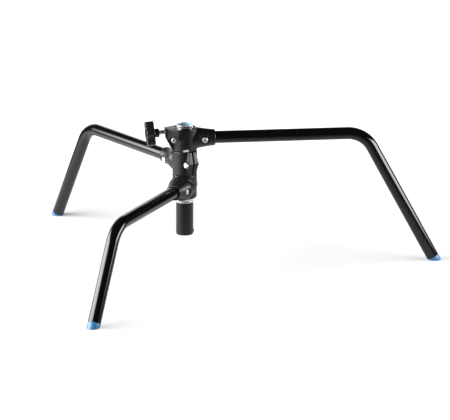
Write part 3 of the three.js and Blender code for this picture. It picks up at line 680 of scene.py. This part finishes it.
def waisted(local, arm):
    """Points of the middle casting with an arm that flares only close to its sleeve.

    The solid's arm has radius e + (r - e)(1 - t)^p at the share t of its length. Where that is more than the
    waist w, the distance from the leg's axis is held to w + f u^q, with u falling from 1 at the sleeve to 0
    where both meet, but no point is drawn into the sleeve. Beyond that place the wall round the bore b grows by
    the ratio of w - b to the solid's radius less b, so that the arm keeps the radius w. Last, the end is drawn
    out along the leg by a smooth step.
    """
    end, waist, bore, power = arm["end"], arm["waist"], arm["bore"], arm["power"]
    widening = arm["root"] - end
    x, y = local[:, 0], local[:, 1]
    reach = np.maximum(np.hypot(y, local[:, 2]), 1e-6)
    left = np.clip(1 - (x - SLEEVE_RADIUS) / arm["length"], 0, 1)
    solid = end + widening * left ** power
    meet = SLEEVE_RADIUS + arm["length"] * (1 - ((waist - end) / widening) ** (1 / power))
    near = np.clip((meet - x) / (meet - SLEEVE_RADIUS), 0, 1)
    held = (waist + arm["flare"] * near ** arm["flare_power"]) / reach
    kept = np.sqrt(np.maximum(SLEEVE_RADIUS ** 2 - x * x, 0)) / np.maximum(np.abs(y), 1e-6)
    grown = (bore + (reach - bore) * (waist - bore) / (solid - bore)) / reach
    outside = (x > 0) & (np.hypot(x, y) > SLEEVE_RADIUS + 0.1)
    ratio = np.where(x < meet, np.minimum(np.maximum(held, kept), 1), np.where(reach > bore, grown, 1))
    local[:, 1:3] *= np.where(outside, ratio, 1)[:, None]
    local[:, 0] = x + arm["drawn"] * eased((x - meet) / (SLEEVE_RADIUS + arm["length"] - meet))
    return local


def cast_mesh(node, name, leg_name, voxel, passes):
    """A casting with the soft edges and fillets of a sand casting, from a fine even mesh of its solid.

    Beside the sleeve the arm's half width is held to R + d s(x / l), with R the sleeve's radius, d what the arm
    is wider than that, l the length over which it grows and s a smooth step. Then each point moves towards the
    mean of its neighbours a few times, which rounds the edges and fills the corners.
    """
    mesh = applied(refined(node, name), "REMESH", mode="VOXEL", voxel_size=voxel * MM, adaptivity=0.0)
    points = np.empty(len(mesh.vertices) * 3)
    mesh.vertices.foreach_get("co", points)
    local = turned(points.reshape(-1, 3) / MM, leg_matrix(leg_name).inverted())
    x, y = local[:, 0], local[:, 1]
    limit = SLEEVE_RADIUS + ARM_ROOT["wider"] * eased(x / ARM_ROOT["length"])
    wide = (x > -ARM_ROOT["behind"]) & (x < ARM_ROOT["length"]) & (np.abs(y) > limit)
    local[:, 1] = np.where(wide, np.sign(y) * limit, y)
    if leg_name == "middle":
        local = waisted(local, MIDDLE_ARM)
    mesh.vertices.foreach_set("co", (turned(local, leg_matrix(leg_name)) * MM).ravel())
    mesh = applied(mesh, "SMOOTH", factor=0.5, iterations=passes)
    mesh.polygons.foreach_set("use_smooth", np.ones(len(mesh.polygons), bool))
    return mesh


# Stage

def camera_turn(size):
    """The turn of the camera round the stand's axis from straight in front."""
    return Matrix.Rotation(math.radians(CAMERA["about"]), size, "Z")


def camera_matrix():
    """Where the photograph was taken from, in the frame of the stand.

    The eye lies far from the aim, at the angle of its rise. The look is turned aside and up by the tangents of
    yaw and pitch, and then rolled.
    """
    far = CAMERA["far"]
    rise, yaw, pitch, roll = (math.radians(CAMERA[key]) for key in ("rise", "yaw", "pitch", "roll"))
    aim = Vector((0, 0, CAMERA["aim"]))
    eye = aim + Vector((0, -far * math.cos(rise), far * math.sin(rise)))
    ahead = (aim - eye).normalized()
    right = ahead.cross(Vector((0, 0, 1))).normalized()
    ahead = (ahead + math.tan(yaw) * right + math.tan(pitch) * right.cross(ahead)).normalized()
    right = ahead.cross(Vector((0, 0, 1))).normalized()
    up = right.cross(ahead)
    right, up = math.cos(roll) * right + math.sin(roll) * up, math.cos(roll) * up - math.sin(roll) * right
    pose = Matrix((right, up, -ahead)).transposed().to_4x4()
    return camera_turn(4) @ Matrix.Translation(eye) @ pose


def add_camera(scene):
    """The photograph's camera."""
    data = bpy.data.cameras.new("camera")
    data.sensor_width = CAMERA["sensor"]
    data.lens = CAMERA["lens"]
    data.shift_x = CAMERA["shift"]
    data.clip_end = CAMERA["clip"]
    camera = bpy.data.objects.new("camera", data)
    scene.collection.objects.link(camera)
    camera.matrix_world = camera_matrix()
    scene.camera = camera


def add_softbox(scene, name, place, aim, size, power):
    """A rectangular soft lamp that looks at a point and fades towards its rim.

    With u and v from 0 to 1 across it, its strength goes as the product of 1 - (2u - 1)^4 and 1 - (2v - 1)^4.
    """
    data = bpy.data.lights.new(name, "AREA")
    data.shape = "RECTANGLE"
    data.size, data.size_y = size
    data.energy = power
    data.use_nodes = True
    paint = Paint(data.node_tree)
    u, v = paint.split(paint.node("NewGeometry", output="Parametric"))[:2]
    fade = (1 - (u * 2.0 - 1.0) ** 4.0) * (1 - (v * 2.0 - 1.0) ** 4.0)
    glow = paint.node("Emission", {}, {"Strength": fade * 1.5})
    paint.node("OutputLight", {}, {"Surface": glow})
    lamp = bpy.data.objects.new(name, data)
    scene.collection.objects.link(lamp)
    place, aim = camera_turn(3) @ Vector(place), camera_turn(3) @ Vector(aim)
    lamp.location = place
    lamp.rotation_euler = (aim - place).to_track_quat("-Z", "Y").to_euler()
    lamp.visible_camera = False


def add_surround(scene, stage):
    """The world: white to the camera, and to all else a dark room with a pale backdrop low behind the stand.

    The backdrop is a smooth rise with y times a smooth fall with z. Reflections show it a little brighter, and
    only matt surfaces get the fill.
    """
    world = bpy.data.worlds.new("surround")
    scene.world = world
    world.use_nodes = True
    paint = Paint(world.node_tree)
    behind, height = paint.split(paint.node("TexCoord", output="Generated"))[1:]
    seen, shown = paint.rays()
    backdrop = paint.ranged(behind, 0.80, 0.95) * paint.ranged(height, 0.38, 0.52, BACKDROP["light"], 0.0)
    room = backdrop * (1.0 + shown * BACKDROP["shine"]) + stage.room + (1 - shown) * stage.fill
    glow = paint.node("Background", {}, {"Color": (1, 1, 1, 1), "Strength": seen + (1 - seen) * room})
    paint.node("OutputWorld", {}, {"Surface": glow})


def floor_light(x, y):
    """Brightness of a white floor under the lamps: a cubic in metres, fitted to it out to 1.1 m."""
    plain = 1.213 + y * (-0.310 + y * (-0.456 + y * 0.212))
    first = -0.994 + y * (0.555 + y * 0.370)
    second = 1.306 + y * -0.943
    return plain + x * (first + x * (second + x * -0.214))


def add_floor(scene, stage):
    """The floor: a pale sheet under the stand and behind it, which fades smoothly into a dark floor.

    To the camera it adds what its own light lacks to white, so that only the object's shadows are darker: the
    wanted white less colour times floor light where the fitted light holds, and plain white beyond. Reflections
    show the sheet a little brighter.
    """
    half = FLOOR["half"]
    corners = [(-half, -half, 0), (half, -half, 0), (half, half, 0), (-half, half, 0)]
    mesh = bpy.data.meshes.new("floor")
    mesh.from_pydata(corners, [], [[0, 1, 2, 3]])
    floor = bpy.data.objects.new("floor", mesh)
    scene.collection.objects.link(floor)
    floor.location.z = -FLOOR["drop"]
    floor.rotation_euler.z = math.radians(CAMERA["about"])
    material = bpy.data.materials.new("floor_white")
    material.use_nodes = True
    paint = Paint(material.node_tree)
    seen, shown = paint.rays()
    reach = paint.node("VectorMath", {"operation": "LENGTH"}, {0: paint.place()}, "Value")
    across, ahead = paint.split(paint.place())[:2]
    sheet = paint.ranged(reach, 0.55, 1.35, 1.0, 0.0) * paint.ranged(ahead, -0.8, 0.25)
    dark, pale = FLOOR["dark"], FLOOR["pale"]
    lit = paint.node("BsdfDiffuse", {}, {"Color": paint.mix(sheet, (dark,) * 3, (pale,) * 3)})
    near = paint.ranged(reach, 0.9, 1.2, 1.0, 0.0)
    sent = near * (dark + sheet * (pale - dark)) * floor_light(across, ahead)
    lack = stage.floor_white - sent + (1 - near) * FLOOR["beyond"]
    lack = paint.node("Math", {"operation": "MAXIMUM"}, {0: lack, 1: 0.0})
    strength = seen * lack + shown * sheet * FLOOR["shine"]
    glow = paint.node("Emission", {}, {"Color": (1, 1, 1, 1), "Strength": strength})
    both = paint.node("AddShader", {}, {0: lit, 1: glow})
    paint.node("OutputMaterial", {}, {"Surface": both})
    mesh.materials.append(material)


# Settings

class StandSizes(bpy.types.PropertyGroup):
    """Sizes of the visible pieces that the source leaves open."""

    round_facets: IntProperty(name="Round facets", description="Facets round a tube", default=72, min=24)
    casting_grid: FloatProperty(name="Casting grid", description="Size of the castings' faces in mm",
                                default=0.7, min=0.3)
    casting_passes: IntProperty(name="Casting rounding", description="Passes that round the castings' edges",
                                default=10, min=0)


class StandLook(bpy.types.PropertyGroup):
    """Colours and fine relief of the finishes."""

    paint_black: FloatVectorProperty(name="Leg paint", description="Colour of the enamel on the tubes",
                                     subtype="COLOR", default=(0.0035, 0.0035, 0.004))
    casting_black: FloatVectorProperty(name="Casting coat", description="Colour of the castings' coat",
                                       subtype="COLOR", default=(0.005, 0.005, 0.0055))
    knob_black: FloatVectorProperty(name="Knob plastic", description="Colour of the clamp knob",
                                    subtype="COLOR", default=(0.010, 0.010, 0.0105))
    cap_blue: FloatVectorProperty(name="Cap plastic", description="Colour of the foot caps",
                                  subtype="COLOR", default=(0.042, 0.185, 0.39))
    peel_scale: FloatProperty(name="Peel scale", description="Fineness of the enamel's orange peel",
                              default=240.0)
    peel_depth: FloatProperty(name="Peel depth", description="Depth of the enamel's orange peel",
                              default=0.00004, precision=6, subtype="DISTANCE", unit="LENGTH")
    grain_scale: FloatProperty(name="Grain scale", description="Fineness of the castings' grain",
                               default=1100.0)
    grain_depth: FloatProperty(name="Grain depth", description="Depth of the castings' grain",
                               default=0.00012, precision=6, subtype="DISTANCE", unit="LENGTH")


class StandStage(bpy.types.PropertyGroup):
    """Lamps and floor round the stand."""

    left_power: FloatProperty(name="Left softbox", description="Power of the large softbox on the left",
                              default=62.0, subtype="POWER", unit="POWER")
    right_power: FloatProperty(name="Right softbox", description="Power of the low softbox on the right",
                               default=34.0, subtype="POWER", unit="POWER")
    room: FloatProperty(name="Room", description="Brightness of the dark room round the stage", default=0.01)
    fill: FloatProperty(name="Fill", description="Soft light from all round on matt surfaces", default=0.18)
    floor_white: FloatProperty(name="Floor white", description="Brightness of the bare floor to the camera",
                               default=1.07)


# Operators

class StandCentreTube(bpy.types.Operator):
    """Make the centre tube and the pin across its foot"""

    bl_idname = "stand.centre_tube"
    bl_label = "Centre tube"

    def execute(self, context):
        tube = refined("centre_tube", "tube_centre")
        piece("tube_centre", tube, "column", "satin_black_paint", "centre_tube")
        radius, head = PIN["radius"], PIN["head"]
        seat = TUBE["radius"] + CLEARANCE
        end = seat + PIN["proud"]
        flush = PIN["flush"] - TUBE["radius"]
        corners = [(0, flush), (radius, flush), (radius, seat), (head, seat), (head, end), (0, end)]
        grid = radial(rounded(corners, [0, 0.4, 0, 0, 0.4, 0]), 40)
        matrix = Matrix.Translation((0, 0, PIN["height"])) @ Matrix.Rotation(math.pi / 2, 4, "Y")
        grid_piece("pin_stop", turned(grid, matrix), "column", "satin_black_paint", "stop_pin", False)
        return {"FINISHED"}


class StandRings(bpy.types.Operator):
    """Make the bright ring and the liner of the socket's mouth, and the retaining ring"""

    bl_idname = "stand.rings"
    bl_label = "Bright rings"

    def execute(self, context):
        low = LEVELS["top"] + CLEARANCE
        high = low + RING["height"]
        bore = TUBE["bore"]
        liner = bore + LINER["wall"]
        inner, outer = liner + FIT, RING["radius"]
        corners = [(inner, low), (outer, low), (outer, high - RING["slope"]), (inner, high)]
        profile = rounded(corners, [0, 0.5, 0.55, 0.25], 6, True)
        grid_piece("ring_socket", radial(profile, 144), "column", "chrome", "socket_ring")
        low, high = LINER["low"], LINER["high"]
        corners = [(bore, low), (liner, low), (liner, high), (bore, high)]
        profile = rounded(corners, [0.2, 0.3, 0.3, 0.7], 4, True)
        grid_piece("liner_socket", radial(profile, 144), "column", "blue_grey_plastic", "socket_liner")
        piece("ring_retaining", retaining_ring(), "column", "chrome", "retaining_ring")
        return {"FINISHED"}


class StandBushes(bpy.types.Operator):
    """Make the two nylon bushes of the swinging castings"""

    bl_idname = "stand.bushes"
    bl_label = "Nylon bushes"

    def execute(self, context):
        inner = TUBE["radius"] + RUN
        outer = inner + BUSH["wall"]
        low, seam = LEVELS["low"] + CLEARANCE / 2, LEVELS["high"] + CLEARANCE / 2
        collar, high = BUSH["collar"], seam + BUSH["collar_height"]
        corners = [(inner, low), (outer, low), (outer, seam), (collar, seam), (collar, high), (inner, high)]
        profile = rounded(corners, [0, 0.2, 0, 0.4, 0.5, 0], 3, True)
        grid_piece("bush_middle", radial(profile, 96), "middle_leg", "white_nylon", "middle_bush")
        flange, low, seam = FLANGE["radius"], FLANGE["low"], FLANGE["high"]
        high = LEVELS["low"] - CLEARANCE / 2
        corners = [(inner, low), (flange, low), (flange, seam), (outer, seam), (outer, high), (inner, high)]
        profile = rounded(corners, [0.2, 1.0, 1.0, 0, 0.2, 0], 4, True)
        grid_piece("bush_bottom", radial(profile, 96), "bottom_leg", "white_nylon", "bottom_bush")
        return {"FINISHED"}


class StandCastings(bpy.types.Operator):
    """Make the three castings with the soft edges of sand castings"""

    bl_idname = "stand.castings"
    bl_label = "Castings"

    def execute(self, context):
        sizes = context.scene.stand_sizes
        for name, leg in LEGS.items():
            node = name + "_casting"
            mesh = cast_mesh(node, "casting_" + name, name, sizes.casting_grid, sizes.casting_passes)
            piece("casting_" + name, mesh, leg["body"], "satin_black_casting", node)
        return {"FINISHED"}


class StandLegs(bpy.types.Operator):
    """Make the three bent leg tubes"""

    bl_idname = "stand.legs"
    bl_label = "Leg tubes"

    def execute(self, context):
        for name, leg in LEGS.items():
            grid = leg_tube(name, context.scene.stand_sizes.round_facets)
            grid_piece("leg_" + name, grid, leg["body"], "gloss_black_paint", name + "_leg_tube")
        return {"FINISHED"}


class StandFeet(bpy.types.Operator):
    """Make the three foot caps"""

    bl_idname = "stand.feet"
    bl_label = "Foot caps"

    def execute(self, context):
        for name, leg in LEGS.items():
            grid = foot_cap(name, context.scene.stand_sizes.round_facets)
            grid_piece("foot_" + name, grid, leg["body"], "blue_plastic", name + "_foot_cap", False)
        return {"FINISHED"}


class StandFasteners(bpy.types.Operator):
    """Make the bolts and nuts of the legs and of the split clamps"""

    bl_idname = "stand.fasteners"
    bl_label = "Bolts and nuts"

    def execute(self, context):
        for name, leg in LEGS.items():
            for use, (along, above, seat, side) in leg["bolts"].items():
                matrix = fastener_matrix(name, along, above, side)
                for kind, make, closed_rows in (("bolt", bolt_grid, False), ("nut", nut_grid, True)):
                    grid = turned(make(seat, NUTS[use]), matrix)
                    grid_piece(f"{kind}_{use}_{name}", grid, leg["body"], "zinc", f"{name}_{use}_{kind}",
                               closed_rows)
        return {"FINISHED"}


class StandClamp(bpy.types.Operator):
    """Make the column clamp: knob, threaded screw and brass pad"""

    bl_idname = "stand.clamp"
    bl_label = "Column clamp"

    def execute(self, context):
        matrix = clamp_matrix()
        knob, screw, pad = (turned(grid, matrix) for grid in (knob_grid(), screw_grid(), pad_grid()))
        grid_piece("knob_clamp", knob, "clamp_handle", "black_plastic", "clamp_knob", False)
        grid_piece("screw_clamp", screw, "clamp_handle", "zinc", "clamp_screw", False, 50.0)
        grid_piece("pad_clamp", pad, "clamp_pad", "brass", "pressure_pad", False)
        return {"FINISHED"}


class StandStageSet(bpy.types.Operator):
    """Make the camera, the lamps, the white surround and the pale floor"""

    bl_idname = "stand.stage"
    bl_label = "Stage"

    def execute(self, context):
        scene = context.scene
        add_camera(scene)
        for name, lamp in LAMPS.items():
            add_softbox(scene, "lamp_" + name, lamp["place"], lamp["aim"], lamp["size"],
                        getattr(scene.stand_stage, name + "_power"))
        add_surround(scene, scene.stand_stage)
        add_floor(scene, scene.stand_stage)
        scene.view_settings.view_transform = "Standard"
        return {"FINISHED"}


STEPS = (StandCentreTube, StandRings, StandBushes, StandCastings, StandLegs, StandFeet, StandFasteners,
         StandClamp, StandStageSet)
GROUPS = {"stand_sizes": StandSizes, "stand_look": StandLook, "stand_stage": StandStage}


class StandPanel(bpy.types.Panel):
    """The settings and the steps of the stand"""

    bl_idname = "VIEW3D_PT_stand"
    bl_label = "C stand base"
    bl_space_type = "VIEW_3D"
    bl_region_type = "UI"
    bl_category = "Stand"

    def draw(self, context):
        for group in GROUPS:
            column = self.layout.column(align=True)
            settings = getattr(context.scene, group)
            for key in settings.__annotations__:
                column.prop(settings, key)
        for step in STEPS:
            self.layout.operator(step.bl_idname)


CLASSES = (*GROUPS.values(), *STEPS, StandPanel)


def register():
    for item in CLASSES:
        bpy.utils.register_class(item)
    for name, group in GROUPS.items():
        setattr(bpy.types.Scene, name, PointerProperty(type=group))


def unregister():
    for name in GROUPS:
        delattr(bpy.types.Scene, name)
    for item in reversed(CLASSES):
        bpy.utils.unregister_class(item)


def main():
    register()
    for step in STEPS:
        family, name = step.bl_idname.split(".")
        getattr(getattr(bpy.ops, family), name)()


if __name__ == "__main__":
    main()
